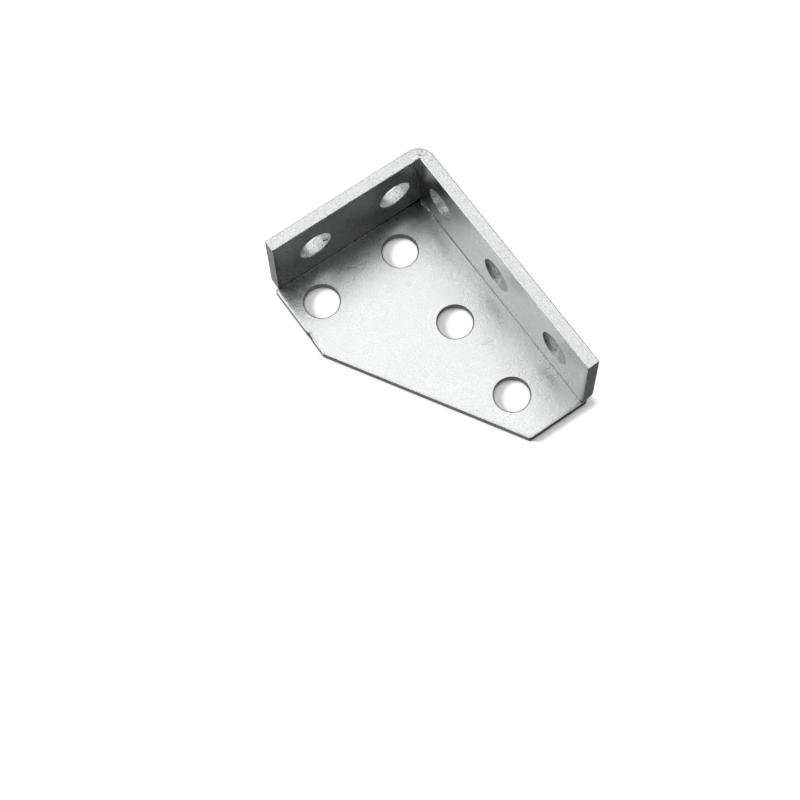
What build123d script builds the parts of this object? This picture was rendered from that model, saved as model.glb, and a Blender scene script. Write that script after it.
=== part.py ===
from build123d import *
import os

# Strut angle fitting. A flat bar, bent to a right angle, stands on edge along two sides of a
# gusset base plate, and a corner weld along the outside joins the two.
# Millimetres. The origin is on the axis of the base's corner hole, at the plate's underside.
# +X runs along the long flange, -Y along the short flange and +Z up the flanges.

# Bolt holes, as the strut system spaces them, each drawn in a little where the punch enters
hole_pitch = 38.1
hole_diameter = 14.2875
hole_draw_in = 0.45
long_flange_holes = 3
short_flange_holes = 2
base_long_holes = 3
base_short_holes = 2

# The bent bar
strip_width = 34.925
strip_thickness = 5.5
strip_edge_round = 0.5
bend_inner_radius = 0.3
long_row_from_bend = 19.4
short_row_from_bend = 17.7
strip_end_distance = 19.05

# The base plate, and how far it reaches under the bar
plate_thickness = 3.175
plate_edge_round = 0.35
plate_corner_round = 0.8
corner_hole_to_long_face = 25.55
corner_hole_to_short_face = 19.8
plate_long_end_distance = 19.05
plate_short_end_distance = 13.3
long_end_width = 32.25
short_end_width = 39.95
long_lap = 2.8
short_lap = 0.8

# The corner weld, which stays clear of the face that the plate is bolted down on. Its rounding
# takes at most a share of the narrowest wall that it runs into.
weld_round = 2.2
weld_round_share = 0.95
weld_lift = 0.2
weld_end_gap = 0.6

# Faces of the bar
long_face = corner_hole_to_long_face
short_face = -corner_hole_to_short_face
long_inner_face = long_face - strip_thickness
short_inner_face = short_face + strip_thickness
strip_top = plate_thickness + strip_width

# Hole centres: each row starts near the bend and runs on at the pitch
hole_radius = hole_diameter / 2
hole_height = plate_thickness + strip_width / 2
long_flange_x = [short_face + long_row_from_bend + i * hole_pitch for i in range(long_flange_holes)]
short_flange_y = [long_face - short_row_from_bend - i * hole_pitch for i in range(short_flange_holes)]
base_long_x = [i * hole_pitch for i in range(base_long_holes)]
base_short_y = [-i * hole_pitch for i in range(base_short_holes)]

# Ends of the bar, and sides and ends of the plate: an end lies past the last hole of its row
strip_long_end = long_flange_x[-1] + strip_end_distance
strip_short_end = short_flange_y[-1] - strip_end_distance
plate_long_side = long_inner_face + long_lap
plate_short_side = short_inner_face - short_lap
plate_corner = (plate_short_side, plate_long_side)
plate_long_end = base_long_x[-1] + plate_long_end_distance
plate_short_end = base_short_y[-1] - plate_short_end_distance

selection_tolerance = 0.01


def flat_face(part, axis, place):
    """The largest face of a part that lies square to an axis at one place along it."""
    near = (place - selection_tolerance, place + selection_tolerance)
    return part.faces().filter_by(axis).filter_by_position(axis, *near).sort_by(SortBy.AREA)[-1]


def punch(plane, centres, thickness):
    """Punches bolt holes along a plane's normal, from the plane through one thickness."""
    with BuildSketch(plane) as holes:
        with Locations(*centres):
            Circle(hole_radius)
    extrude(holes.sketch, amount=thickness, mode=Mode.SUBTRACT)


def hole_rims(part, axis, place):
    """The rims of the bolt holes in one flat face."""
    return flat_face(part, axis, place).inner_wires().edges()


# The bent bar, formed along its inner faces and hanging from its top edge
with BuildPart() as bent_strip:
    with BuildLine(Plane.XY.offset(strip_top)):
        FilletPolyline(
            (strip_long_end, long_inner_face),
            (short_inner_face, long_inner_face),
            (short_inner_face, strip_short_end),
            radius=bend_inner_radius,
        )
    make_brake_formed(thickness=strip_thickness, station_widths=strip_width, side=Side.RIGHT)

    # The bar's rolled edges run round the bend, and only the edge that takes the weld stays sharp
    inner_face = flat_face(bent_strip, Axis.Y, long_inner_face)
    outer_face = flat_face(bent_strip, Axis.Y, long_face)
    rolled_edges = [
        inner_face.edges().sort_by(Axis.Z)[-1],
        inner_face.edges().sort_by(Axis.Z)[0],
        outer_face.edges().sort_by(Axis.Z)[-1],
    ]
    fillet(rolled_edges, radius=strip_edge_round)

    # Bolt holes, punched outwards from the inner faces
    long_row_plane = Plane((0, long_inner_face, hole_height), x_dir=(1, 0, 0), z_dir=(0, 1, 0))
    short_row_plane = Plane((short_inner_face, 0, hole_height), x_dir=(0, 1, 0), z_dir=(-1, 0, 0))
    punch(long_row_plane, [(x, 0) for x in long_flange_x], strip_thickness)
    punch(short_row_plane, [(y, 0) for y in short_flange_y], strip_thickness)
    chamfer(hole_rims(bent_strip, Axis.Y, long_inner_face), length=hole_draw_in)
    chamfer(hole_rims(bent_strip, Axis.X, short_inner_face), length=hole_draw_in)

# The base plate, sheared to a gusset and punched from above
with BuildPart() as base_plate:
    with BuildSketch() as outline:
        with BuildLine():
            Polyline(
                plate_corner,
                (plate_long_end, plate_long_side),
                (plate_long_end, long_face - long_end_width),
                (short_face + short_end_width, plate_short_end),
                (plate_short_side, plate_short_end),
                close=True,
            )
        make_face()
        open_corners = outline.vertices().sort_by_distance(plate_corner)[1:]
        fillet(open_corners, radius=plate_corner_round)
    extrude(amount=plate_thickness)
    fillet(flat_face(base_plate, Axis.Z, plate_thickness).outer_wire().edges(), radius=plate_edge_round)
    punch(Plane.XY, [(x, 0) for x in base_long_x] + [(0, y) for y in base_short_y[1:]], plate_thickness)
    chamfer(hole_rims(base_plate, Axis.Z, plate_thickness), length=hole_draw_in)

# The corner weld fills the step below the bar, from the plate's edge out to the bar's outer faces
bend_outer_radius = bend_inner_radius + strip_thickness
weld_height = plate_thickness - weld_lift
weld_narrowest = min(long_face - plate_long_side, plate_short_side - short_face, weld_height)
weld_fillet = min(weld_round, weld_round_share * weld_narrowest)


def corner_weld(run_side):
    """One run of the corner weld: it lies on one side of a mitre out from the plate's corner."""
    with BuildPart() as run:
        with BuildSketch(Plane.XY.offset(weld_lift)):
            with BuildLine():
                FilletPolyline(
                    (strip_long_end - weld_end_gap, long_face),
                    (short_face, long_face),
                    (short_face, strip_short_end + weld_end_gap),
                    radius=bend_outer_radius,
                )
                Polyline(
                    (short_face, strip_short_end + weld_end_gap),
                    (plate_short_side, strip_short_end + weld_end_gap),
                    plate_corner,
                    (strip_long_end - weld_end_gap, plate_long_side),
                    (strip_long_end - weld_end_gap, long_face),
                )
            make_face()
        extrude(amount=weld_height)
        outer_face = flat_face(run, Axis.Y, long_face)
        fillet(outer_face.edges().sort_by(Axis.Z)[0], radius=weld_fillet)
        split(bisect_by=Plane(plate_corner, z_dir=(1, 1, 0)), keep=run_side)
    return run


long_weld = corner_weld(Keep.TOP)
short_weld = corner_weld(Keep.BOTTOM)

# Labels and files
os.makedirs("parts", exist_ok=True)
bent_strip.part.label = "bent_strip"
export_step(bent_strip.part, "parts/bent_strip.step")
base_plate.part.label = "base_plate"
export_step(base_plate.part, "parts/base_plate.step")
long_weld.part.label = "long_weld"
export_step(long_weld.part, "parts/long_weld.step")
short_weld.part.label = "short_weld"
export_step(short_weld.part, "parts/short_weld.step")
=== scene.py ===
import logging
import math
from dataclasses import asdict, dataclass, field
from enum import Enum
from functools import lru_cache
from typing import Any, Callable, Mapping, NamedTuple, Optional, Sequence, Union

import bmesh
import bpy
import numpy as np
from mathutils import Matrix, Vector, noise
from mathutils.geometry import delaunay_2d_cdt


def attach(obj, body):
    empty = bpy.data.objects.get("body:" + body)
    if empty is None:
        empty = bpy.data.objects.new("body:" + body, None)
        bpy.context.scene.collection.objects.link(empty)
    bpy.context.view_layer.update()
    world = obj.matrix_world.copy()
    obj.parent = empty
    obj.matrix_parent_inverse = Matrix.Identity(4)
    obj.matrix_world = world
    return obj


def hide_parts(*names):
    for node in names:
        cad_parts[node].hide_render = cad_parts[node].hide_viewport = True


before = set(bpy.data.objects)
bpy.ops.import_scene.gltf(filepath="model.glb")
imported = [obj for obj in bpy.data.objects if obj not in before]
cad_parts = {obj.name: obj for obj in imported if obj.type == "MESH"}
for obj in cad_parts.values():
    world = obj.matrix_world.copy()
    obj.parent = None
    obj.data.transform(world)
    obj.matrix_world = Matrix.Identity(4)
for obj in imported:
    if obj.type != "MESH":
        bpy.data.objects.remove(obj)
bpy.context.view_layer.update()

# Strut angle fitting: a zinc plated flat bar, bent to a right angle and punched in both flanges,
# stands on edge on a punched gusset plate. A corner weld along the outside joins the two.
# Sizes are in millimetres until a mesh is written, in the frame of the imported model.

MM = 0.001
LOG = logging.getLogger("strut_angle_fitting")

Flat = tuple[float, float]
Point = tuple[float, float, float]
Operand = Union["Value", float, Sequence[float]]
Inputs = Mapping[Any, Any]


# Node trees written as expressions


def by_node(operation: str, reflected: bool = False) -> Callable[..., "Value"]:
    """Makes an operator of Value that adds one Math or Vector Math node.

    Args:
        operation: The node's operation.
        reflected: Whether the value stands to the right of the operator.

    Returns:
        The operator.
    """

    def operator(self: "Value", *others: Operand) -> "Value":
        """Adds the node."""
        return self.tree.maths(operation, *((*others, self) if reflected else (self, *others)))

    return operator


class Value:
    """A socket of a node tree that takes part in ordinary expressions."""

    __add__, __radd__ = by_node("ADD"), by_node("ADD", reflected=True)
    __sub__, __rsub__ = by_node("SUBTRACT"), by_node("SUBTRACT", reflected=True)
    __mul__, __rmul__ = by_node("MULTIPLY"), by_node("MULTIPLY", reflected=True)
    __truediv__, __rtruediv__ = by_node("DIVIDE"), by_node("DIVIDE", reflected=True)
    __pow__, __abs__ = by_node("POWER"), by_node("ABSOLUTE")
    at_least, at_most = by_node("MAXIMUM"), by_node("MINIMUM")
    length, dot = by_node("LENGTH"), by_node("DOT_PRODUCT")

    def __init__(self, tree: "Tree", socket: bpy.types.NodeSocket) -> None:
        """Keeps a socket and the tree that it belongs to."""
        self.tree, self.socket = tree, socket

    def step(self, low: Operand, high: Operand) -> "Value":
        """A smooth step from 0 at one value to 1 at another, whichever of them is the larger."""
        inputs = {"Value": self, "From Min": low, "From Max": high}
        return self.tree.value("ShaderNodeMapRange", {"interpolation_type": "SMOOTHSTEP"}, inputs)

    def parts(self) -> tuple["Value", "Value", "Value"]:
        """The three components of a vector."""
        split = self.tree.node("ShaderNodeSeparateXYZ", {}, {"Vector": self})
        return tuple(Value(self.tree, socket) for socket in split.outputs)


def is_vector(operand: Operand) -> bool:
    """Whether an operand carries three numbers."""
    if isinstance(operand, Value):
        return operand.socket.type in {"VECTOR", "RGBA"}
    return not isinstance(operand, (int, float))


class Tree:
    """A node tree, for a material or for Geometry Nodes, that is built by expressions."""

    NUMBER_FROM_VECTORS = {"LENGTH", "DOT_PRODUCT"}

    def __init__(self, tree: bpy.types.NodeTree) -> None:
        """Keeps the tree that nodes are added to."""
        self.tree = tree

    def node(self, kind: str, settings: Inputs, inputs: Inputs) -> bpy.types.Node:
        """Adds one node of any type.

        Args:
            kind: The node's type.
            settings: Its properties, which are set first.
            inputs: Values or links of its sockets, by name or place.

        Returns:
            The node.
        """
        node = self.tree.nodes.new(kind)
        for name, setting in settings.items():
            setattr(node, name, setting)
        for name, given in inputs.items():
            socket = node.inputs[name]
            if isinstance(given, Value):
                self.tree.links.new(given.socket, socket)
            elif socket.type == "VECTOR" and isinstance(given, (int, float)):
                socket.default_value = (given,) * 3
            else:
                socket.default_value = given
        return node

    def value(self, kind: str, settings: Inputs, inputs: Inputs, output: Union[int, str] = 0) -> Value:
        """Adds one node, as above, and takes one of its outputs, by name or place."""
        return Value(self, self.node(kind, settings, inputs).outputs[output])

    def maths(self, operation: str, *operands: Operand) -> Value:
        """Adds a Math node, or a Vector Math node where a vector takes part.

        Args:
            operation: The node's operation.
            *operands: Values or plain numbers and vectors.

        Returns:
            The result.
        """
        vector = any(is_vector(one) for one in operands)
        kind = "ShaderNodeVectorMath" if vector else "ShaderNodeMath"
        output = 1 if vector and operation in self.NUMBER_FROM_VECTORS else 0
        return self.value(kind, {"operation": operation}, dict(enumerate(operands)), output)

    def vector(self, x: Operand, y: Operand, z: Operand) -> Value:
        """Three values as one vector."""
        return self.value("ShaderNodeCombineXYZ", {}, {0: x, 1: y, 2: z})

    def noise(self, place: Operand, size: float, detail: float = 2.0, roughness: float = 0.5) -> Value:
        """Smooth noise from about -0.5 to 0.5.

        Args:
            place: Where the noise is read, in millimetres.
            size: The size of its forms, in millimetres.
            detail: How many finer layers it has.
            roughness: How strong the finer layers are.

        Returns:
            The noise.
        """
        inputs = {"Vector": place, "Scale": 1.0 / size, "Detail": detail, "Roughness": roughness}
        return self.value("ShaderNodeTexNoise", {}, inputs) - 0.5

    def blend(self, share: Operand, first: Operand, second: Operand) -> Value:
        """One number where share is 0 and another where it is 1."""
        return self.value("ShaderNodeMix", {"data_type": "FLOAT"}, {"Factor": share, "A": first, "B": second})


# Finishes


class Grain(Enum):
    """The direction in which a punch has drawn its marks, as the stretch of a pattern along x, y and z."""

    ALONG_X = (0.12, 1.0, 1.0)
    ALONG_Y = (1.0, 0.12, 1.0)
    ALONG_Z = (1.0, 1.0, 0.12)


class Mark(Enum):
    """The shapes that a handling mark, or a spot of painted light, can have."""

    SCRATCH = "scratch"
    CRACK = "crack"
    RING = "ring"
    SPECK = "speck"


@dataclass(frozen=True)
class HandlingMarkOrPaintedLight:
    """One mark in the plating, or one spot of painted highlight or shade, in millimetres.

    A scratch or a crack runs from place to end. A ring or a speck lies round its place, and reach is
    its radius.
    """

    shape: Mark
    place: Point
    end: Point = (0.0, 0.0, 0.0)
    reach: float = 0.2
    width: float = 0.12
    tone: float = -0.3


class FinishTree(Tree):
    """The nodes of one metal finish."""

    COOL_CAST = 0.985

    def __init__(self, name: str) -> None:
        """Makes an empty material of this name."""
        self.material = bpy.data.materials.new(name)
        self.material.use_nodes = True
        self.material.node_tree.nodes.clear()
        super().__init__(self.material.node_tree)
        self.place = self.value("ShaderNodeTexCoord", {}, {}, "Object") * (1 / MM)

    def finish(
        self, tone: Value, roughness: Value, height: Value, metallic: Operand = 1.0
    ) -> bpy.types.Material:
        """Adds the shader, a neutral grey with the faint cool cast of zinc.

        Args:
            tone: The brightness of the metal.
            roughness: Its roughness.
            height: Its relief in millimetres.
            metallic: How much of it shines as bare metal.

        Returns:
            The material.
        """
        inputs = {"Strength": 1.0, "Distance": MM, "Height": height}
        shader = self.value("ShaderNodeBsdfPrincipled", {}, {
            "Base Color": self.vector(tone * self.COOL_CAST, tone, tone), "Roughness": roughness,
            "Metallic": metallic, "IOR": 1.6, "Normal": self.value("ShaderNodeBump", {}, inputs, "Normal"),
        })
        self.node("ShaderNodeOutputMaterial", {}, {"Surface": shader})
        return self.material

    def attribute(self, name: str) -> Value:
        """A number that the mesh carries at each point."""
        return self.value("ShaderNodeAttribute", {"attribute_name": name}, {}, "Fac")

    def mark(self, one: HandlingMarkOrPaintedLight) -> Value:
        """The share of a handling mark, or of a spot of painted light, at each place.

        Args:
            one: The mark.

        Returns:
            A mask, 1 on the mark.
        """
        jitter = self.vector(self.noise(self.place, 1.1), self.noise(self.place + 40.0, 1.1), 0.0)
        offset = self.place + jitter * 0.5 - one.place
        if one.shape is Mark.SPECK:
            return offset.length().step(one.reach, one.reach * 0.4)
        if one.shape is Mark.RING:
            open_side = self.noise(self.place, 1.6).step(-0.20, 0.05)
            return abs(offset.length() - one.reach).step(one.width, 0.0) * open_side
        run = Vector(one.end) - Vector(one.place)
        along = offset.dot(tuple(run / run.length_squared)).at_least(0.0).at_most(1.0)
        gap = (offset - self.vector(along * run.x, along * run.y, along * run.z)).length()
        if one.shape is Mark.CRACK:
            return gap.step(one.width, one.width * 0.5)
        return gap.step(one.width, 0.0) * self.noise(self.place, 0.9, 3.0).step(-0.12, 0.10)

    def specks(self, size: float, share: float) -> Value:
        """Scattered fine specks.

        Args:
            size: The distance between the cells of their pattern, in millimetres.
            share: How many of the cells hold a speck.

        Returns:
            A mask, 1 on a speck.
        """
        cells = self.node("ShaderNodeTexVoronoi", {}, {"Vector": self.place, "Scale": 1.0 / size})
        gap, draw = Value(self, cells.outputs["Distance"]), Value(self, cells.outputs["Color"]).parts()
        return gap.step(0.07, 0.03) * draw[0].step(share, share - 0.02)


@dataclass(frozen=True)
class Finish:
    """A finish of the fitting. Its sizes are in millimetres."""

    name: str

    @lru_cache(maxsize=None)
    def material(self) -> bpy.types.Material:
        """The finish as a material, made once."""
        return self.build(FinishTree(self.name))

    def build(self, tree: FinishTree) -> bpy.types.Material:
        """Adds the finish's nodes to its tree."""
        raise NotImplementedError


@dataclass(frozen=True)
class PlatedFace(Finish):
    """Rolled steel under bright zinc: fine grain, faint mottle, specks, handling marks and spots of painted
    light.
    """

    tone: float = 0.80
    roughness: float = 0.30
    grain: float = 0.05
    grain_size: float = 0.70
    relief: float = 0.065
    speck_size: float = 5.0
    speck_share: float = 0.35
    pit_size: float = 1.3
    pit_depth: float = 0.02
    mark_depth: float = 0.012
    rolled_from: Optional[float] = None
    rolled_tone: float = 0.85
    rolled_grain: float = 0.16
    streaks: Optional[Point] = None
    marks: tuple[HandlingMarkOrPaintedLight, ...] = ()

    def build(self, tree: FinishTree) -> bpy.types.Material:
        """Adds the nodes of a rolled face, duller from the height rolled_from up.

        Args:
            tree: The material's tree.

        Returns:
            The material.
        """
        fine = tree.noise(tree.place, self.grain_size, 2.0, 0.7)
        mottle = tree.noise(tree.place, self.grain_size * 4, 3.0, 0.6)
        broad = tree.noise(tree.place, 17.0, 2.0)
        edge = tree.attribute("edge")
        specks, pits = tree.specks(self.speck_size, self.speck_share), tree.specks(self.pit_size, 0.5)
        tone, grain = self.tone, self.grain
        if self.rolled_from is not None:
            above = tree.place.parts()[2].step(self.rolled_from, self.rolled_from + 0.15)
            rolled = above * (1.0 - edge * 0.5)
            grain = tree.blend(rolled, grain, self.rolled_grain)
            tone = tree.blend(rolled, tone, tone * self.rolled_tone)
        tone = tone * (1.0 + grain * 5.0 * fine + grain * 1.6 * mottle + 0.05 * broad) - 0.30 * specks
        rough = self.roughness + 0.15 * fine + 0.10 * mottle + 0.08 * broad - 0.06 * edge
        height = self.relief * fine + self.relief * 0.8 * mottle - 0.01 * specks - self.pit_depth * pits
        if self.streaks is not None:
            beside = (tree.place * (1.0, 1.0, 0.0) - self.streaks).length()
            drawn = tree.noise(tree.place * Grain.ALONG_Z.value, 0.9, 2.0) * beside.step(7.5, 1.0)
            tone = tone * (1.0 + 1.8 * drawn)
            height = height + 0.06 * drawn
        for one in self.marks:
            mask = tree.mark(one)
            tone = tone + one.tone * mask
            rough = rough + 0.10 * mask
            height = height + math.copysign(self.mark_depth, one.tone) * mask
        return tree.finish(tone.at_least(0.05).at_most(0.95), rough.at_least(0.12).at_most(0.75), height)


@dataclass(frozen=True)
class ShearedEdge(Finish):
    """A sheared edge under zinc, dull and drawn down by the blade."""

    tone: float = 0.85
    roughness: float = 0.45
    metallic: float = 0.92
    grain: float = 0.22
    grain_size: float = 0.45
    relief: float = 0.05

    def build(self, tree: FinishTree) -> bpy.types.Material:
        """Adds the nodes of a sheared edge.

        Args:
            tree: The material's tree.

        Returns:
            The material.
        """
        fine = tree.noise(tree.place, self.grain_size, 3.0, 0.65)
        drawn = tree.noise(tree.place * Grain.ALONG_Z.value, self.grain_size * 0.8, 2.0)
        tone = self.tone * (1.0 + 2.0 * self.grain * fine + 2.0 * self.grain * drawn)
        rough = self.roughness + 0.2 * fine + 0.15 * drawn
        height = self.relief * fine + self.relief * 0.8 * drawn
        return tree.finish(tone.at_most(0.95), rough, height, self.metallic)


@dataclass(frozen=True)
class PunchedWall(Finish):
    """The wall of a punched hole: drawn smooth where the punch goes in, torn where the slug breaks out."""

    grain: Grain
    smooth_tone: float = 0.74
    torn_tone: float = 0.90
    smooth_roughness: float = 0.42
    torn_roughness: float = 0.38
    metallic: float = 0.90
    torn_metallic: float = 0.90
    streak_size: float = 0.30
    smooth_relief: float = 0.08
    torn_relief: float = 0.60
    torn_slope: float = 0.50
    mark_depth: float = 0.05
    marks: tuple[HandlingMarkOrPaintedLight, ...] = ()

    def build(self, tree: FinishTree) -> bpy.types.Material:
        """Adds the nodes of a hole's wall.

        Args:
            tree: The material's tree.

        Returns:
            The material.
        """
        torn = tree.attribute("torn")
        streak = tree.noise(tree.place * self.grain.value, self.streak_size, 3.0, 0.6)
        fleck = tree.noise(tree.place, 0.75, 3.0, 0.7)
        crumb = tree.noise(tree.place, 0.65, 4.0, 0.7)
        smooth = self.smooth_tone * (1.0 + 0.9 * streak + 2.0 * fleck - 0.5 * fleck.step(-0.08, -0.20))
        broken = self.torn_tone * (1.0 + 1.8 * crumb - 0.4 * crumb.step(-0.06, -0.16))
        tone = tree.blend(torn, smooth, broken)
        rough = tree.blend(torn, self.smooth_roughness + 0.25 * streak, self.torn_roughness + 0.25 * crumb)
        height = tree.blend(torn, self.smooth_relief * (streak + fleck), self.torn_relief * crumb)
        height = height + self.torn_slope * tree.attribute("tear")
        for one in self.marks:
            mask = tree.mark(one)
            tone = tone + one.tone * mask
            height = height + math.copysign(self.mark_depth, one.tone) * mask
        metallic = tree.blend(torn, self.metallic, self.torn_metallic)
        return tree.finish(tone.at_least(0.02).at_most(0.95), rough.at_least(0.12), height, metallic)


@dataclass(frozen=True)
class SeamShadeAndSpatter(Finish):
    """A finish for a seam: a near-black strand that paints the shade in its gap, and pale grains of spatter.
    """

    tone: float
    roughness: float = 0.80

    def build(self, tree: FinishTree) -> bpy.types.Material:
        """Adds the nodes of a seam finish, which has no shine of bare metal."""
        fine = tree.noise(tree.place, 0.4, 2.0)
        return tree.finish(self.tone * (1.0 + 0.8 * fine), self.roughness + 0.2 * fine, 0.02 * fine, 0.0)


@dataclass(frozen=True)
class WeldBead(Finish):
    """A weld bead under zinc: satin, and darker in the valleys between its ripples."""

    tone: float = 0.62
    roughness: float = 0.42
    relief: float = 0.02

    def build(self, tree: FinishTree) -> bpy.types.Material:
        """Adds the nodes of a weld bead.

        Args:
            tree: The material's tree.

        Returns:
            The material.
        """
        fine, broad = tree.noise(tree.place, 0.5, 3.0, 0.6), tree.noise(tree.place, 4.0, 2.0)
        ripple = tree.attribute("ripple")
        tone = self.tone * (1.0 + 0.25 * fine + 0.3 * broad) - 0.12 * ripple
        return tree.finish(tone, self.roughness + 0.15 * fine + 0.12 * ripple, self.relief * fine)


# Meshes and pieces


def unit(vector: np.ndarray) -> np.ndarray:
    """A vector's direction."""
    return vector / np.linalg.norm(vector)


def wander(place: Sequence[float], size: float, seed: float = 0.0) -> float:
    """Smooth noise at a place, from about -1 to 1, the same on each run.

    Args:
        place: Up to three coordinates in millimetres.
        size: The size of its forms, in millimetres.
        seed: Moves to another part of the noise.

    Returns:
        The noise.
    """
    padded = [*place, 0.0, 0.0][:3]
    return noise.noise(Vector(c / size + seed for c in padded))


def added(name: str, data: bpy.types.ID) -> bpy.types.Object:
    """A new object in the scene."""
    made = bpy.data.objects.new(name, data)
    bpy.context.scene.collection.objects.link(made)
    return made


def new_mesh(name: str, points: Sequence[Point], edges: Sequence, faces: Sequence) -> bpy.types.Mesh:
    """A new mesh from points in millimetres."""
    mesh = bpy.data.meshes.new(name)
    mesh.from_pydata([tuple(c * MM for c in point) for point in points], edges, faces)
    return mesh


def close_outwards(mesh: bpy.types.Mesh) -> None:
    """Merges a mesh's doubles and turns its faces outwards."""
    work = bmesh.new()
    work.from_mesh(mesh)
    bmesh.ops.remove_doubles(work, verts=work.verts, dist=1e-6)
    bmesh.ops.recalc_face_normals(work, faces=work.faces)
    work.to_mesh(mesh)
    work.free()


def make_plain(piece: bpy.types.Object, smooth_to: float) -> None:
    """Turns a piece's modifiers into a plain mesh and marks its sharp edges.

    Args:
        piece: The piece, with its modifiers.
        smooth_to: Edges that turn by more than this angle, in degrees, are sharp.
    """
    plain = bpy.data.meshes.new_from_object(piece.evaluated_get(bpy.context.evaluated_depsgraph_get()))
    piece.modifiers.clear()
    piece.data = plain
    plain.name = piece.name
    plain.shade_smooth()
    plain.set_sharp_from_angle(angle=math.radians(smooth_to))


class Shell:
    """Points in millimetres and the faces between them, which become one closed mesh."""

    def __init__(self) -> None:
        """Starts empty."""
        self.points: list[Point] = []
        self.edges: list[float] = []
        self.faces: list[tuple[int, ...]] = []
        self.finishes: list[int] = []

    def ring(self, points: Sequence[Sequence[float]], edges: Optional[Sequence[float]] = None) -> list[int]:
        """Adds a loop of points.

        Args:
            points: The points in order.
            edges: How much each lies on a worn edge, from 0 to 1.

        Returns:
            Their numbers.
        """
        first = len(self.points)
        self.points.extend(tuple(map(float, p)) for p in points)
        self.edges.extend(edges if edges is not None else [0.0] * len(points))
        return list(range(first, len(self.points)))

    def face(self, numbers: Sequence[int], finish: int) -> None:
        """Adds a face between points of these numbers."""
        self.faces.append(tuple(numbers))
        self.finishes.append(finish)

    def band(self, first: Sequence[int], second: Sequence[int], finish: int) -> None:
        """Joins two closed loops of as many points."""
        for k in range(len(first)):
            nxt = (k + 1) % len(first)
            self.face((first[k], first[nxt], second[nxt], second[k]), finish)

    def net(self, ring: Sequence[int], height: float, step: float, finish: int) -> None:
        """Closes a level loop with a net of even triangles.

        Args:
            ring: The loop's points.
            height: The height of the net.
            step: The distance between its points.
            finish: The finish of its faces.
        """
        loop = [Vector(self.points[k][:2]) for k in ring]
        outline = np.array(loop)
        low, high = outline.min(axis=0), outline.max(axis=0)
        inside = []
        for row, y in enumerate(np.arange(low[1], high[1], step * 0.866)):
            for x in np.arange(low[0] + (row % 2) * step / 2, high[0], step):
                if np.min(np.linalg.norm(outline - (x, y), axis=1)) > step * 0.6:
                    inside.append(Vector((x, y)))
        found = delaunay_2d_cdt(loop + inside, [], [list(range(len(loop)))], 1, 1e-5)
        places, faces, origins = found[0], found[2], found[3]
        numbers = []
        for place, origin in zip(places, origins):
            at_rim = [ring[k] for k in origin if k < len(loop)]
            numbers.extend(at_rim[:1] or self.ring([(*place, height)]))
        for face in faces:
            self.face([numbers[k] for k in face], finish)

    def build(self, name: str, *finishes: Finish) -> bpy.types.Object:
        """Writes the mesh in metres, closed and with its faces outwards.

        Args:
            name: The object's name.
            *finishes: The finishes that the face numbers stand for.

        Returns:
            The object.
        """
        mesh = new_mesh(name, self.points, [], self.faces)
        for finish in finishes:
            mesh.materials.append(finish.material())
        mesh.polygons.foreach_set("material_index", self.finishes)
        mesh.attributes.new("edge", "FLOAT", "POINT").data.foreach_set("value", self.edges)
        close_outwards(mesh)
        return added(name, mesh)


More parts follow.
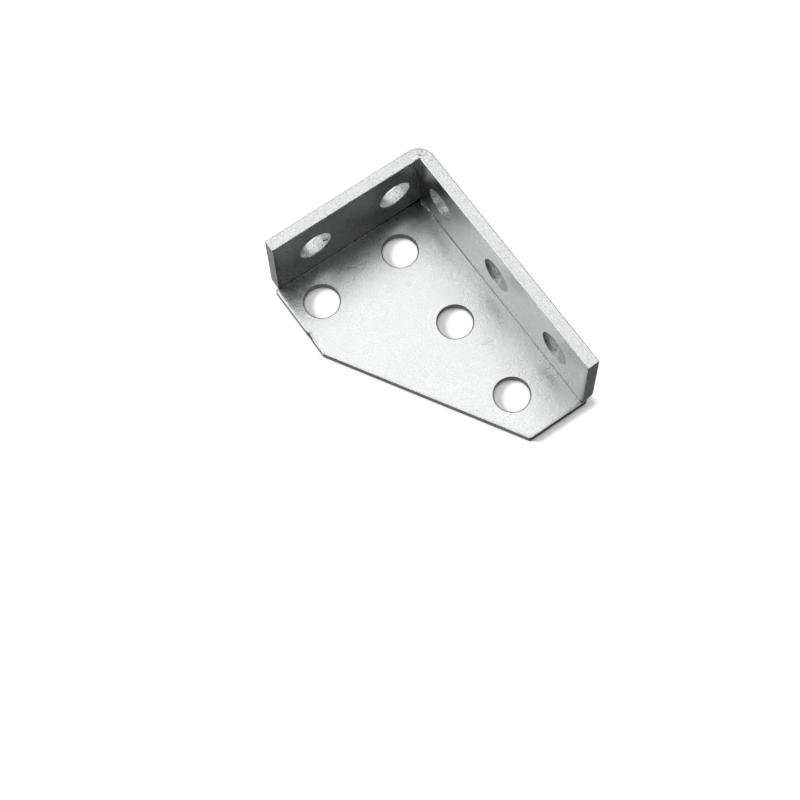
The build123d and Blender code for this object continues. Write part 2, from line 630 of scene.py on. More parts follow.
class GeometryTree(Tree):
    """A Geometry Nodes tree with named inputs."""

    def __init__(self, name: str, floats: Sequence[str], others: Mapping[str, str]) -> None:
        """Makes a tree with a geometry input and output, a seed and a finish.

        Args:
            name: The tree's name.
            floats: The names of its inputs that are plain numbers.
            others: Each other input's name and kind of socket.
        """
        group = bpy.data.node_groups.new(name, "GeometryNodeTree")
        kinds = {"Geometry": "Geometry", **dict.fromkeys(floats, "Float"), **others}
        for label, kind in {**kinds, "Seed": "Int", "Finish": "Material"}.items():
            group.interface.new_socket(label, in_out="INPUT", socket_type="NodeSocket" + kind)
        group.interface.new_socket("Geometry", in_out="OUTPUT", socket_type="NodeSocketGeometry")
        super().__init__(group)
        self.start = group.nodes.new("NodeGroupInput")

    def given(self, name: str) -> Value:
        """One of the tree's inputs."""
        return Value(self, self.start.outputs[name])

    def position(self) -> Value:
        """Where each point is, in millimetres."""
        return self.value("GeometryNodeInputPosition", {}, {}) * (1 / MM)

    def read(self, name: str, kind: str = "FLOAT") -> Value:
        """An attribute that the geometry carries."""
        return self.value("GeometryNodeInputNamedAttribute", {"data_type": kind}, {"Name": name})

    def store(
        self, geometry: Value, name: str, what: Operand, kind: str = "FLOAT", domain: str = "POINT"
    ) -> Value:
        """Writes an attribute to the geometry.

        Args:
            geometry: The geometry.
            name: The attribute's name.
            what: Its value.
            kind: Its data type.
            domain: What it belongs to.

        Returns:
            The geometry with the attribute.
        """
        settings = {"data_type": kind, "domain": domain}
        inputs = {"Geometry": geometry, "Name": name, "Value": what}
        return self.value("GeometryNodeStoreNamedAttribute", settings, inputs)

    def moved(self, geometry: Value, how: str, places: Value) -> Value:
        """Puts points at a "Position" or moves them by an "Offset", in millimetres."""
        return self.value("GeometryNodeSetPosition", {}, {"Geometry": geometry, how: places * MM})

    def line(self) -> Value:
        """The line of points that a piece starts from, as a curve."""
        return self.value("GeometryNodeMeshToCurve", {}, {"Mesh": self.given("Geometry")})

    def even_line(self) -> Value:
        """The same line, divided evenly by the input "Spacing"."""
        inputs = {"Curve": self.line(), "Length": self.given("Spacing") * MM}
        return self.value("GeometryNodeResampleCurve", {"mode": "LENGTH"}, inputs)

    def travel(self) -> Value:
        """How far along its curve each point is, in millimetres."""
        return self.value("GeometryNodeSplineParameter", {}, {}, "Length") * (1 / MM)

    def end(self, geometry: Value, dressed: Operand = True) -> None:
        """Leads the geometry out, with instances made real and the finish on its dressed faces."""
        plain = self.value("GeometryNodeRealizeInstances", {}, {"Geometry": geometry})
        inputs = {"Geometry": plain, "Selection": dressed, "Material": self.given("Finish")}
        self.node("NodeGroupOutput", {}, {"Geometry": self.value("GeometryNodeSetMaterial", {}, inputs)})

    def give(self, piece: bpy.types.Object, finish: Finish, inputs: Mapping[str, Any]) -> None:
        """Adds the tree to a piece as a modifier, with its inputs set by their sockets' identifiers.

        Args:
            piece: The piece.
            finish: What the tree's faces wear.
            inputs: The other inputs by name.
        """
        modifier = piece.modifiers.new(self.tree.name, "NODES")
        modifier.node_group = self.tree
        given = {**inputs, "Finish": finish.material()}
        for item in self.tree.interface.items_tree:
            if item.in_out == "INPUT" and item.name in given:
                modifier[item.identifier] = given[item.name]


def seam_piece(name: str, points: Sequence[Point], attributes: Mapping[str, Sequence]) -> bpy.types.Object:
    """A line of points that a tree turns into a piece.

    Args:
        name: The object's name.
        points: The points.
        attributes: The numbers or vectors that the points carry, by name.

    Returns:
        The object.
    """
    mesh = new_mesh(name, points, [(k, k + 1) for k in range(len(points) - 1)], [])
    for label, carried in attributes.items():
        kind, key = ("FLOAT", "value") if np.ndim(carried) == 1 else ("FLOAT_VECTOR", "vector")
        mesh.attributes.new(label, kind, "POINT").data.foreach_set(key, np.ravel(carried).tolist())
    return added(name, mesh)


# Punched holes


@dataclass(frozen=True)
class Cut:
    """How the punch leaves one kind of hole, in millimetres, with the land as a share of the thickness.

    The mouth is drawn in where the punch enters, the land is drawn smooth, and the rest is torn. Lean
    makes the land longer on one side of the hole, and drag widens the mouth on that side.
    """

    draw_in: float
    mouth_depth: float
    land: float
    land_spread: float
    break_out: float
    relief: float
    lean: float = 0.0
    drag: float = 0.0

    def inputs(self) -> dict[str, float]:
        """The same by the names of the tree's inputs, with the widths in metres."""
        widths = {"draw_in", "break_out", "relief", "drag"}
        return {
            name.replace("_", " ").title(): size * MM if name in widths else size
            for name, size in asdict(self).items()
        }


@dataclass(frozen=True)
class HoleRow:
    """A straight row of punched bolt holes, in millimetres.

    The punch enters each hole at its centre in the entry face and travels along aim.
    """

    first: Point
    pitch: Point
    count: int
    aim: Point
    thickness: float
    cut: Cut
    finish: PunchedWall
    seed: int


class PunchTree(GeometryTree):
    """Geometry Nodes that punch a straight row of bolt holes through a closed piece.

    Each hole is drawn in at its mouth, drawn smooth to a ragged depth, and torn wider from there on.
    """

    SIDES = 168
    SLICES = 44
    OVERSHOOT = 0.45

    def __init__(self) -> None:
        """Builds the tree, in which an earlier row's walls keep their own finish."""
        floats = (
            "Radius", "Thickness", "Draw In", "Mouth Depth", "Land", "Land Spread", "Break Out",
            "Relief", "Lean", "Drag",
        )
        others = {"First": "Vector", "Pitch": "Vector", "Count": "Int", "Turn": "Rotation"}
        super().__init__("punched_row", floats, others)
        cutters = self.widened(self.row(self.blank_cutter()))
        inputs = {"Geometry": self.given("Geometry"), "Name": "punched"}
        unmarked = self.value("GeometryNodeRemoveAttribute", {}, inputs)
        settings = {"operation": "DIFFERENCE", "solver": "MANIFOLD"}
        cut = self.value("GeometryNodeMeshBoolean", settings, {"Mesh 1": unmarked, "Mesh 2": cutters})
        self.end(cut, dressed=self.read("punched", "BOOLEAN"))

    def blank_cutter(self) -> Value:
        """A finely divided cylinder that keeps, at each point, its depth and its direction from the axis.

        Returns:
            The cylinder, upright, with its mouth at the origin.
        """
        over = self.OVERSHOOT * MM
        depth = self.given("Thickness") + 2 * over
        cylinder = self.value("GeometryNodeMeshCylinder", {}, {
            "Vertices": self.SIDES, "Side Segments": self.SLICES, "Radius": self.given("Radius"),
            "Depth": depth,
        })
        x, y, z = self.value("GeometryNodeInputPosition", {}, {}).parts()
        below = z + depth * 0.5 - over
        spoke = self.value("ShaderNodeVectorMath", {"operation": "NORMALIZE"}, {0: self.vector(x, y, 0.0)})
        marked = self.store(cylinder, "depth", below * (1 / MM))
        marked = self.store(marked, "spoke", spoke, "FLOAT_VECTOR")
        inputs = {"Geometry": marked, "Position": self.vector(x, y, below)}
        lifted = self.value("GeometryNodeSetPosition", {}, inputs)
        return self.store(lifted, "punched", True, "BOOLEAN", "FACE")

    def row(self, cutter: Value) -> Value:
        """Sets a cutter at each hole of the row.

        Args:
            cutter: The blank cutter.

        Returns:
            The cutters.
        """
        line = self.value("GeometryNodeMeshLine", {}, {
            "Count": self.given("Count"), "Start Location": self.given("First"),
            "Offset": self.given("Pitch"),
        })
        inputs = {"Points": line, "Instance": cutter, "Rotation": self.given("Turn")}
        placed = self.value("GeometryNodeInstanceOnPoints", {}, inputs)
        return self.value("GeometryNodeRealizeInstances", {}, {"Geometry": placed})

    def turned(self, vector: Operand) -> Value:
        """A cutter's vector, turned to the row's aim."""
        inputs = {"Vector": vector, "Rotation": self.given("Turn")}
        return self.value("FunctionNodeRotateVector", {}, inputs)

    def widened(self, cutters: Value) -> Value:
        """Draws in the mouths and tears the far ends of the cutters.

        Args:
            cutters: The blank cutters in their places.

        Returns:
            The cutters, with how far each point lies in the torn zone.
        """
        depth, spoke = self.read("depth"), self.read("spoke", "FLOAT_VECTOR")
        thickness = self.given("Thickness") * (1 / MM)
        place = self.position() + self.given("Seed") * 7.3
        rim = place - self.turned((0.0, 0.0, 1.0)) * depth
        to_side = spoke.dot((1.0, 0.0, 0.0))
        lean = (to_side * 3.0).at_least(-1.0).at_most(1.0) * self.given("Lean")
        ragged = self.noise(rim, 2.6, 3.0, 0.6) * 2.0 + self.noise(rim, 0.7, 2.0) * 0.7
        land = thickness * (self.given("Land") + lean + self.given("Land Spread") * ragged)
        torn = (depth - land).step(0.0, 0.35) * depth.step(0.15, 0.6)
        draw_in, drag, break_out, relief = (
            self.given(name) * (1 / MM) for name in ("Draw In", "Drag", "Break Out", "Relief")
        )
        mouth = draw_in * (1.0 - depth / self.given("Mouth Depth")).at_least(0.0) ** 1.7
        mouth = mouth + drag * to_side.at_least(0.0) * (1.0 - depth * 0.55).at_least(0.0) ** 1.3
        lip = break_out * ((depth - land) / thickness).at_least(0.0) ** 0.7
        crumbs = self.noise(place, 0.95, 4.0, 0.6) + 0.12
        drawn = self.noise(rim, 0.35, 2.0) * 0.012
        grow = mouth + lip * torn + relief * torn * crumbs + 0.05 * torn + drawn
        inputs = {"Geometry": cutters, "Offset": self.turned(spoke) * (grow * MM)}
        moved = self.value("GeometryNodeSetPosition", {}, inputs)
        marked = self.store(moved, "tear", (depth - land).at_least(0.0))
        return self.store(marked, "torn", torn)


@dataclass
class Punch:
    """The press tool that makes the bolt holes, in millimetres."""

    diameter: float = 14.2875

    def __post_init__(self) -> None:
        """Builds the tree that every row uses."""
        self.tree = PunchTree()

    def punch(self, piece: bpy.types.Object, rows: Sequence[HoleRow]) -> None:
        """Adds rows of holes to a closed piece as modifiers.

        Args:
            piece: The piece.
            rows: Where the holes are.
        """
        for row in rows:
            self.tree.give(piece, row.finish, {
                "First": [c * MM for c in row.first], "Pitch": [c * MM for c in row.pitch],
                "Count": row.count, "Turn": Vector(row.aim).to_track_quat("Z", "Y").to_euler(),
                "Radius": self.diameter / 2 * MM, "Thickness": row.thickness * MM, "Seed": row.seed,
                **row.cut.inputs(),
            })


# The bent bar


class Part(Enum):
    """The finishes that the faces of the bar and the plate can have, by their number."""

    ROLLED = 0
    SHEARED = 1


@dataclass(frozen=True)
class Station:
    """One place along the bar, in millimetres.

    It is a point of the inner line, with the way outwards there, the share of the bend that lies
    behind it, and how far it is along the bar and from the nearer end.
    """

    place: Flat
    outwards: Flat
    bend: float
    travel: float
    from_end: float = math.inf


@dataclass
class BentBar:
    """The flat bar that is bent to a right angle and stands on edge, in millimetres."""

    thickness: float = 5.5
    bottom: float = 3.175
    top: float = 38.1
    long_inner: float = 20.05
    short_inner: float = -14.3
    long_end: float = 94.85
    short_end: float = -49.3
    bend_radius: float = 0.3
    outer_bend_radius: float = 7.0
    bend_crease: float = 0.40
    end_roll: float = 0.35
    end_roll_reach: float = 1.6
    end_inset: float = 0.10
    end_inset_reach: float = 0.12
    edge_round: float = 0.5
    seam_edge_round: float = 0.8
    weld_edge_round: float = 0.2
    weld_end_round: float = 2.2
    weld_end_reach: float = 2.5
    hole_height: float = 20.6375
    hole_pitch: float = 38.1
    long_first_hole: float = -0.4
    short_first_hole: float = 7.85
    long_holes: int = 3
    short_holes: int = 2
    neck: float = 0.25
    top_margin: float = 0.06
    bend_steps: int = 36
    corner_steps: int = 6
    cap_rings: int = 14
    face: PlatedFace = PlatedFace(
        "zinc_bar_face", grain=0.03, rolled_from=37.75, streaks=(-14.3, 20.05, 0.0),
        marks=(
            # Painted highlight: this broad pale streak stands in for a reflection on the long flange's inner
            # face near the bend.
            HandlingMarkOrPaintedLight(Mark.SCRATCH, (-10.2, 20.05, 36.0), (-5.0, 20.05, 32.0), width=1.1, tone=0.30),
            # Painted shade: these dark specks on the bar's top beside the bend stand in for the shade of a
            # small crease there, over shallow dents.
            HandlingMarkOrPaintedLight(Mark.SPECK, (-15.6, 21.1, 38.05), reach=0.8, tone=-0.30),
            HandlingMarkOrPaintedLight(Mark.SPECK, (-16.4, 22.6, 38.05), reach=0.6, tone=-0.16),
            HandlingMarkOrPaintedLight(Mark.SPECK, (-14.6, 22.0, 38.05), reach=0.5, tone=-0.12),
        ),
    )
    sheared: ShearedEdge = ShearedEdge("sheared_bar_end")
    long_wall: PunchedWall = PunchedWall(
        "long_flange_hole_wall", Grain.ALONG_Y, smooth_tone=0.84, torn_tone=1.05, torn_metallic=0.05,
    )
    short_wall: PunchedWall = PunchedWall(
        "short_flange_hole_wall", Grain.ALONG_X, smooth_tone=0.88, smooth_roughness=0.36,
        marks=(
            HandlingMarkOrPaintedLight(Mark.CRACK, (-16.42, -25.39, 15.41), (-15.67, -24.13, 16.96), width=0.36, tone=-0.8),
            HandlingMarkOrPaintedLight(Mark.CRACK, (-15.67, -24.13, 16.96), (-14.06, -23.11, 20.42), width=0.30, tone=-0.7),
        ),
    )
    clean_cut: Cut = Cut(0.12, 0.25, land=0.80, land_spread=0.10, break_out=0.16, relief=0.16)
    torn_cut: Cut = Cut(
        0.12, 0.25, land=0.44, land_spread=0.12, break_out=0.16, relief=0.16, lean=0.46, drag=0.8,
    )
    short_cut: Cut = Cut(0.12, 0.25, land=0.94, land_spread=0.04, break_out=0.10, relief=0.08)

    def bend_centre(self) -> Flat:
        """The axis of the bend."""
        return self.short_inner + self.bend_radius, self.long_inner - self.bend_radius

    def outer_bend_centre(self) -> Flat:
        """The axis of the bend's outer face, which bending has drawn to a wider arc."""
        outer_x, outer_y = self.short_inner - self.thickness, self.long_inner + self.thickness
        return outer_x + self.outer_bend_radius, outer_y - self.outer_bend_radius

    def bend_travel(self) -> float:
        """How far along the bar the middle of the bend is."""
        return self.long_end - self.bend_centre()[0] + math.pi / 4 * self.bend_radius

    def outer_reach(self, station: Station) -> float:
        """How far the outer face is from the inner line, which is less in the bend.

        Args:
            station: Where along the bar.

        Returns:
            The bar's thickness there.
        """
        place, way = np.array(station.place), np.array(station.outwards)
        faces = (self.short_inner - self.thickness, self.long_inner + self.thickness)
        reach = min((faces[k] - place[k]) / way[k] for k in range(2) if abs(way[k]) > 1e-6)
        centre, hit = np.array(self.outer_bend_centre()), place + way * reach
        if hit[0] >= centre[0] or hit[1] <= centre[1]:
            return float(reach)
        offset = place - centre
        ahead = float(offset @ way)
        return -ahead + math.sqrt(ahead**2 - float(offset @ offset) + self.outer_bend_radius**2)

    def flange_steps(self, run: float, first: float) -> list[float]:
        """The distances from a flange's end at which its sections lie, closest at its end and the bend.

        Args:
            run: The flange's length.
            first: The distance at which the even sections start.

        Returns:
            The distances in order.
        """
        at_end, near_bend = (0.0, 0.04, 0.12, 0.3, 0.6), (4.0, 3.2, 2.4, 1.8, 1.2, 0.8, 0.4, 0.15)
        even = np.linspace(first, run - 5.0, round(run - 6.0))
        return [*at_end, *even, *(run - back for back in near_bend)]

    def stations(self) -> list[Station]:
        """The places along the bar.

        Returns:
            The stations from the long flange's end to the short flange's end.
        """
        centre_x, centre_y = self.bend_centre()
        long_run, short_run = self.long_end - centre_x, centre_y - self.short_end
        total = long_run + math.pi / 2 * self.bend_radius + short_run
        made = []
        for left in self.flange_steps(long_run, 0.9):
            made.append(Station((self.long_end - left, self.long_inner), (0.0, 1.0), 0.0, left, left))
        for step in range(self.bend_steps + 1):
            share = step / self.bend_steps
            angle = math.pi / 2 * (1 + share)
            out = (math.cos(angle), math.sin(angle))
            place = (centre_x + self.bend_radius * out[0], centre_y + self.bend_radius * out[1])
            made.append(Station(place, out, share, long_run + math.pi / 2 * self.bend_radius * share))
        for left in reversed(self.flange_steps(short_run, 1.0)):
            place = (self.short_inner, self.short_end + left)
            made.append(Station(place, (-1.0, 0.0), 1.0, total - left, left))
        return made

    def section(self, travel: float) -> tuple[np.ndarray, np.ndarray]:
        """The bar's outline square to its length.

        Args:
            travel: Where along the bar, which varies the rolled edges a little.

        Returns:
            Its points as (distance from the inner face, height), and how much each lies on a rolled edge.
        """
        rounds = [self.edge_round * (1 + 0.22 * wander((travel,), 2.2, corner * 9.1)) for corner in range(4)]
        near_end = max(0.0, 1 - travel / self.weld_end_reach) ** 0.5
        rounds[1] = self.seam_edge_round
        rounds[2] = self.weld_edge_round + (self.weld_end_round - self.weld_edge_round) * near_end
        corners = [(0, self.top), (0, self.bottom), (self.thickness, self.bottom), (self.thickness, self.top)]
        inwards, arcs = [(1, -1), (1, 1), (-1, 1), (-1, -1)], []
        for k, (radius, (n, z), (dn, dz)) in enumerate(zip(rounds, corners, inwards)):
            centre = np.array([n + dn * radius, z + dz * radius])
            arcs.append([])
            for step in range(self.corner_steps + 1):
                angle = math.pi / 2 * (k + 1) + math.pi / 2 * step / self.corner_steps
                arcs[k].append(centre + radius * np.array([math.cos(angle), math.sin(angle)]))
        full = self.top - self.bottom
        side = [0.18, 0.55, *np.linspace(1.2, full - 2.2, 32), full - 1.55, full - 1.18]
        shares = [np.array(side) / (full - 1.0), np.array([0.05, 0.15, 0.3, 0.5, 0.7, 0.85, 0.95])]
        points, edges = [], []
        for k, arc in enumerate(arcs):
            between = [arc[-1] + (arcs[(k + 1) % 4][0] - arc[-1]) * share for share in shares[k % 2]]
            points += [*arc, *between]
            edges += [1.0] * len(arc) + [0.0] * len(between)
        return np.array(points), np.array(edges)

    def cut_back(self, across: np.ndarray, height: np.ndarray, travel: float) -> np.ndarray:
        """How far the shear left the end short: rolled over at its inner side, torn at its outer side.

        Args:
            across: Share of the thickness from the inner face.
            height: Height above the ground.
            travel: Where along the bar, which tells the two ends apart.

        Returns:
            The distance at each point.
        """
        seed = 3.0 if travel > self.bend_travel() else 8.0
        coarse, fine = (
            np.array([wander((a * self.thickness, h), size, seed + shift) for a, h in zip(across, height)])
            for size, shift in ((2.4, 0.0), (0.6, 4.0))
        )
        torn = np.clip((across - 0.35 + 0.15 * coarse) / 0.1, 0, 1)
        return 0.10 * np.exp(-across * 9) + torn * (0.07 + 0.10 * across + 0.05 * coarse + 0.05 * fine) + 0.02

    def formed(self, outline: np.ndarray, station: Station) -> np.ndarray:
        """Where bending and shearing move the points of an outline.

        Args:
            outline: Points as (distance from the inner face, height).
            station: Where along the bar they are.

        Returns:
            The points in x, y and z.
        """
        across, height = outline[:, 0] / self.thickness, outline[:, 1]
        cut = self.cut_back(across, height, station.travel) * max(0.0, 1 - station.from_end)
        near_bend, at_apex = (
            math.exp(-(((station.travel - self.bend_travel()) / reach) ** 2)) for reach in (4.2, 1.5)
        )
        upper = np.clip((height - (self.top - 9.0)) / 9.0, 0.0, 1.0) ** 2
        drop = self.top_margin * (1 - at_apex * (1 - across) ** 2) + self.neck * near_bend * across**1.4
        height = height - upper * drop
        low = np.clip((self.top - height) / (self.top - self.bottom), 0.0, 1.0)
        at_end = max(0.0, 1 - station.from_end / self.end_roll_reach) ** 2
        rolled = self.end_roll * (0.3 + 0.7 * low) * at_end
        crease = self.bend_crease * math.sin(station.bend * math.pi)
        depth = outline[:, 0] * self.outer_reach(station) / self.thickness
        depth = depth + (crease + rolled) * np.clip(1 - across * 6, 0, 1)
        inwards = 1.0 if station.bend < 0.5 else -1.0
        out_x, out_y = station.outwards
        x = station.place[0] + out_x * depth - out_y * inwards * cut
        y = station.place[1] + out_y * depth + out_x * inwards * cut
        return np.stack([x, y, height], axis=1)

    def shrunk(self, outline: np.ndarray, share: float) -> np.ndarray:
        """An outline drawn in towards its middle line, to a share of its distance from it."""
        half = self.thickness / 2
        height = np.clip(outline[:, 1], self.bottom + half, self.top - half)
        middle = np.stack([np.full(len(outline), half), height], axis=1)
        return middle + (outline - middle) * share

    def blank(self) -> bpy.types.Object:
        """The bent bar before its holes are punched.

        Returns:
            A closed piece.
        """
        shell, rings = Shell(), []
        stations, half = self.stations(), self.thickness / 2
        for station in stations:
            outline, edges = self.section(station.travel)
            inset = self.end_inset * max(0.0, 1 - station.from_end / self.end_inset_reach) ** 2
            rings.append(shell.ring(self.formed(self.shrunk(outline, 1 - inset / half), station), edges))
        for first, second in zip(rings, rings[1:]):
            shell.band(first, second, Part.ROLLED.value)
        for station, outer in ((stations[0], rings[0]), (stations[-1], rings[-1])):
            outline, _ = self.section(station.travel)
            for k in range(1, self.cap_rings + 1):
                share = (1 - self.end_inset / half) * (1 - 0.96 * k / self.cap_rings)
                inner = shell.ring(self.formed(self.shrunk(outline, share), station))
                shell.band(outer, inner, Part.SHEARED.value)
                outer = inner
            shell.face(outer, Part.SHEARED.value)
        return shell.build("bent_bar", self.face, self.sheared)

    def rows(self) -> list[HoleRow]:
        """The rows of holes in the two flanges.

        Returns:
            The rows. The long flange's first hole is one of its own, because the punch left it clean.
        """
        long_way, short_way = (self.hole_pitch, 0, 0), (0, -self.hole_pitch, 0)
        clean = (self.long_first_hole, self.long_inner, self.hole_height)
        torn = (self.long_first_hole + self.hole_pitch, self.long_inner, self.hole_height)
        short = (self.short_inner, self.short_first_hole, self.hole_height)
        thick, rest = self.thickness, self.long_holes - 1
        return [
            HoleRow(clean, long_way, 1, (0, 1, 0), thick, self.clean_cut, self.long_wall, seed=1),
            HoleRow(torn, long_way, rest, (0, 1, 0), thick, self.torn_cut, self.long_wall, seed=5),
            HoleRow(
                short, short_way, self.short_holes, (-1, 0, 0), thick, self.short_cut, self.short_wall,
                seed=2,
            ),
        ]

    def make(self, punch: Punch) -> bpy.types.Object:
        """Builds the bar with its holes.

        Args:
            punch: The press tool.

        Returns:
            The piece.
        """
        piece = self.blank()
        punch.punch(piece, self.rows())
        make_plain(piece, 24.0)
        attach(piece, "root")
        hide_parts("bent_strip")
        return piece


# The gusset plate


class Level(NamedTuple):
    """One ring of the plate's sheared edge, in millimetres."""

    inset: float
    height: float
    below: Part
    worn: float = 0.0
    ragged: float = 0.0


@dataclass
class GussetPlate:
    """The sheared and punched base plate, in millimetres."""

    thickness: float = 3.175
    corners: tuple[Flat, ...] = (
        (-15.1, 22.85), (95.25, 22.85), (95.25, -5.15), (19.3, -50.6), (-15.1, -50.6),
    )
    corner_round: float = 1.2
    corner_steps: int = 8
    hole_pitch: float = 38.1
    long_holes: int = 3
    outline_step: float = 0.40
    net_step: float = 1.6
    slight_roll: float = 0.22
    burr: Flat = (84.6, -11.3)
    nick: Flat = (9.6, -50.6)
    nick_depth: float = 0.45
    nick_reach: float = 1.5
    nick_lip: float = 0.16
    rolled_above: float = 1.7
    torn_below: float = 1.62
    face: PlatedFace = PlatedFace("zinc_plate_face", marks=(
        HandlingMarkOrPaintedLight(Mark.SCRATCH, (-12.8, -41.8, 3.175), (-5.4, -42.8, 3.175), width=0.30, tone=0.35),
        HandlingMarkOrPaintedLight(Mark.SCRATCH, (-10.6, -40.2, 3.175), (-8.2, -44.0, 3.175), width=0.24, tone=0.30),
        HandlingMarkOrPaintedLight(Mark.RING, (77.2, 17.8, 3.175), reach=0.75, width=0.30, tone=0.20),
        HandlingMarkOrPaintedLight(Mark.RING, (71.1, 17.4, 3.175), reach=0.80, width=0.30, tone=0.22),
        HandlingMarkOrPaintedLight(Mark.RING, (13.7, -5.7, 3.175), reach=0.90, width=0.25, tone=-0.14),
        HandlingMarkOrPaintedLight(Mark.SPECK, (73.8, -15.2, 3.175), reach=0.40, tone=-0.55),
        HandlingMarkOrPaintedLight(Mark.SPECK, (85.4, 9.7, 3.175), reach=0.35, tone=-0.45),
        HandlingMarkOrPaintedLight(Mark.SPECK, (31.4, 11.5, 3.175), reach=0.35, tone=-0.40),
        HandlingMarkOrPaintedLight(Mark.SCRATCH, (52.4, 3.0, 3.175), (53.2, 7.8, 3.175), width=0.50, tone=-0.16),
    ))
    # Painted shade: the plate's sheared edges are much darker than the bar's sheared ends, standing in for
    # the shade along the plate's edges.
    sheared: ShearedEdge = ShearedEdge("sheared_plate_edge", tone=0.38, metallic=0.90)
    # Painted shade: the plate's hole walls are a dark, nearly non-metal copy of the punched wall finish,
    # standing in for the shade inside the holes.
    wall: PunchedWall = PunchedWall(
        "plate_hole_wall", Grain.ALONG_Z, smooth_tone=0.32, torn_tone=0.28, metallic=0.10, torn_metallic=0.10,
    )
    cut: Cut = Cut(0.48, 0.45, land=0.36, land_spread=0.12, break_out=0.40, relief=0.10)

    def outline(self) -> tuple[np.ndarray, np.ndarray]:
        """The plate's outline, closely divided.

        Returns:
            Its points and the direction outwards at each.
        """
        corners = [np.array(corner) for corner in self.corners]
        points, normals = [], []
        for k, here in enumerate(corners):
            after, following = (corners[(k + further) % len(corners)] for further in (1, 2))
            back, ahead, onwards = unit(corners[k - 1] - here), unit(after - here), unit(following - after)
            half = math.acos(float(np.dot(back, ahead))) / 2
            half_next = math.acos(float(np.dot(-ahead, onwards))) / 2
            reach = self.corner_round / math.tan(half)
            centre = here + unit(back + ahead) * self.corner_round / math.sin(half)
            first, last = here + back * reach - centre, here + ahead * reach - centre
            for step in range(self.corner_steps + 1):
                way = unit(first + (last - first) * step / self.corner_steps)
                points.append(centre + way * self.corner_round)
                normals.append(way)
            start, end = points[-1], after - ahead * self.corner_round / math.tan(half_next)
            steps = max(2, round(np.linalg.norm(end - start) / self.outline_step))
            points += [start + (end - start) * step / steps for step in range(1, steps)]
            normals += [way] * (steps - 1)
        return np.array(points), np.array(normals)

    def levels(self) -> list[Level]:
        """The rings of the sheared edge, from the top face down to the underside.

        Returns:
            The rolled-over rim, the torn band and the burred foot.
        """
        rim = (
            (1.12, 0.0, 0.0), (0.94, 0.008, 0.1), (0.76, 0.032, 0.4), (0.58, 0.075, 0.8), (0.41, 0.14, 1.0),
            (0.26, 0.23, 1.0), (0.13, 0.35, 1.0),
        )
        band = ((0.03, 1.50), (0.03, 1.25), (0.04, 1.0), (0.04, 0.75), (0.05, 0.5), (0.05, 0.28))
        return [
            *(Level(inset, self.thickness - drop, Part.ROLLED, worn) for inset, drop, worn in rim),
            Level(0.04, self.thickness - 0.52, Part.SHEARED, worn=1.0),
            Level(0.0, self.thickness - 0.75, Part.SHEARED, worn=0.3),
            Level(0.0, self.torn_below, Part.SHEARED, ragged=0.5),
            *(Level(inset, height, Part.SHEARED, ragged=0.8) for inset, height in band),
            Level(0.09, 0.10, Part.SHEARED, ragged=0.4),
            Level(0.20, 0.012, Part.SHEARED, ragged=0.2),
            Level(0.70, 0.0, Part.ROLLED),
        ]

    def edge_points(self, points: np.ndarray, normals: np.ndarray, level: Level) -> np.ndarray:
        """One ring of the sheared edge.

        Args:
            points: The outline.
            normals: The directions outwards.
            level: Which ring.

        Returns:
            The ring's points.
        """
        height, in_rim = level.height, level.height > self.rolled_above
        grip, depth_share = (1.0 if height > 1.0 else 0.3), (1.0 if in_rim else 0.15)
        rows = []
        for point, out in zip(points, normals):
            rough = 0.5 + 0.5 * wander((*point, height * 2.0), 0.9) + 0.3 * wander((*point, height), 3.5)
            to_short_end = min(1.0, max(0.0, (-out[1] - 0.9) / 0.08))
            rolled = self.slight_roll + (1 - self.slight_roll) * to_short_end if in_rim else 1.0
            near_burr = math.exp(-np.linalg.norm(point - np.array(self.burr)) / 1.6)
            soft = 0.18 * near_burr * max(0.0, wander(point, 0.7) + 0.4)
            near_nick = math.exp(-((np.linalg.norm(point - np.array(self.nick)) / self.nick_reach) ** 2))
            bite = self.nick_depth * near_nick * depth_share
            depth = level.inset * rolled + 0.09 * level.ragged * max(0.0, rough) + grip * soft + bite
            ragged_line = 0.28 * wander(point, 2.8, 5.0) if 1.2 < height < self.rolled_above else 0.0
            lip = self.nick_lip * near_nick if height > self.thickness - 0.01 else 0.0
            rows.append((*(point - out * depth), height + ragged_line + lip))
        return np.array(rows)

    def blank(self) -> bpy.types.Object:
        """The plate before its holes are punched.

        Returns:
            A closed piece.
        """
        points, normals = self.outline()
        shell, levels = Shell(), self.levels()
        rings = [
            shell.ring(self.edge_points(points, normals, level), [level.worn] * len(points))
            for level in levels
        ]
        for first, second, level in zip(rings, rings[1:], levels):
            shell.band(first, second, level.below.value)
        for ring, height in ((rings[0], self.thickness), (rings[-1], 0.0)):
            shell.net(ring, height, self.net_step, Part.ROLLED.value)
        return shell.build("gusset_plate", self.face, self.sheared)

    def rows(self) -> list[HoleRow]:
        """The rows of holes, of which the corner hole belongs to the long one."""
        top, pitch, down = self.thickness, self.hole_pitch, (0, 0, -1)
        return [
            HoleRow((0, 0, top), (pitch, 0, 0), self.long_holes, down, top, self.cut, self.wall, seed=3),
            HoleRow((0, -pitch, top), (0, -pitch, 0), 1, down, top, self.cut, self.wall, seed=4),
        ]

    def make(self, punch: Punch) -> bpy.types.Object:
        """Builds the plate with its holes.

        Args:
            punch: The press tool.

        Returns:
            The piece.
        """
        piece = self.blank()
        punch.punch(piece, self.rows())
        make_plain(piece, 24.0)
        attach(piece, "root")
        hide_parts("base_plate")
        return piece


# The corner weld


class Run(Enum):
    """The two flanges that a weld or a strand of painted seam shade can run along."""

    LONG = "long"
    SHORT = "short"


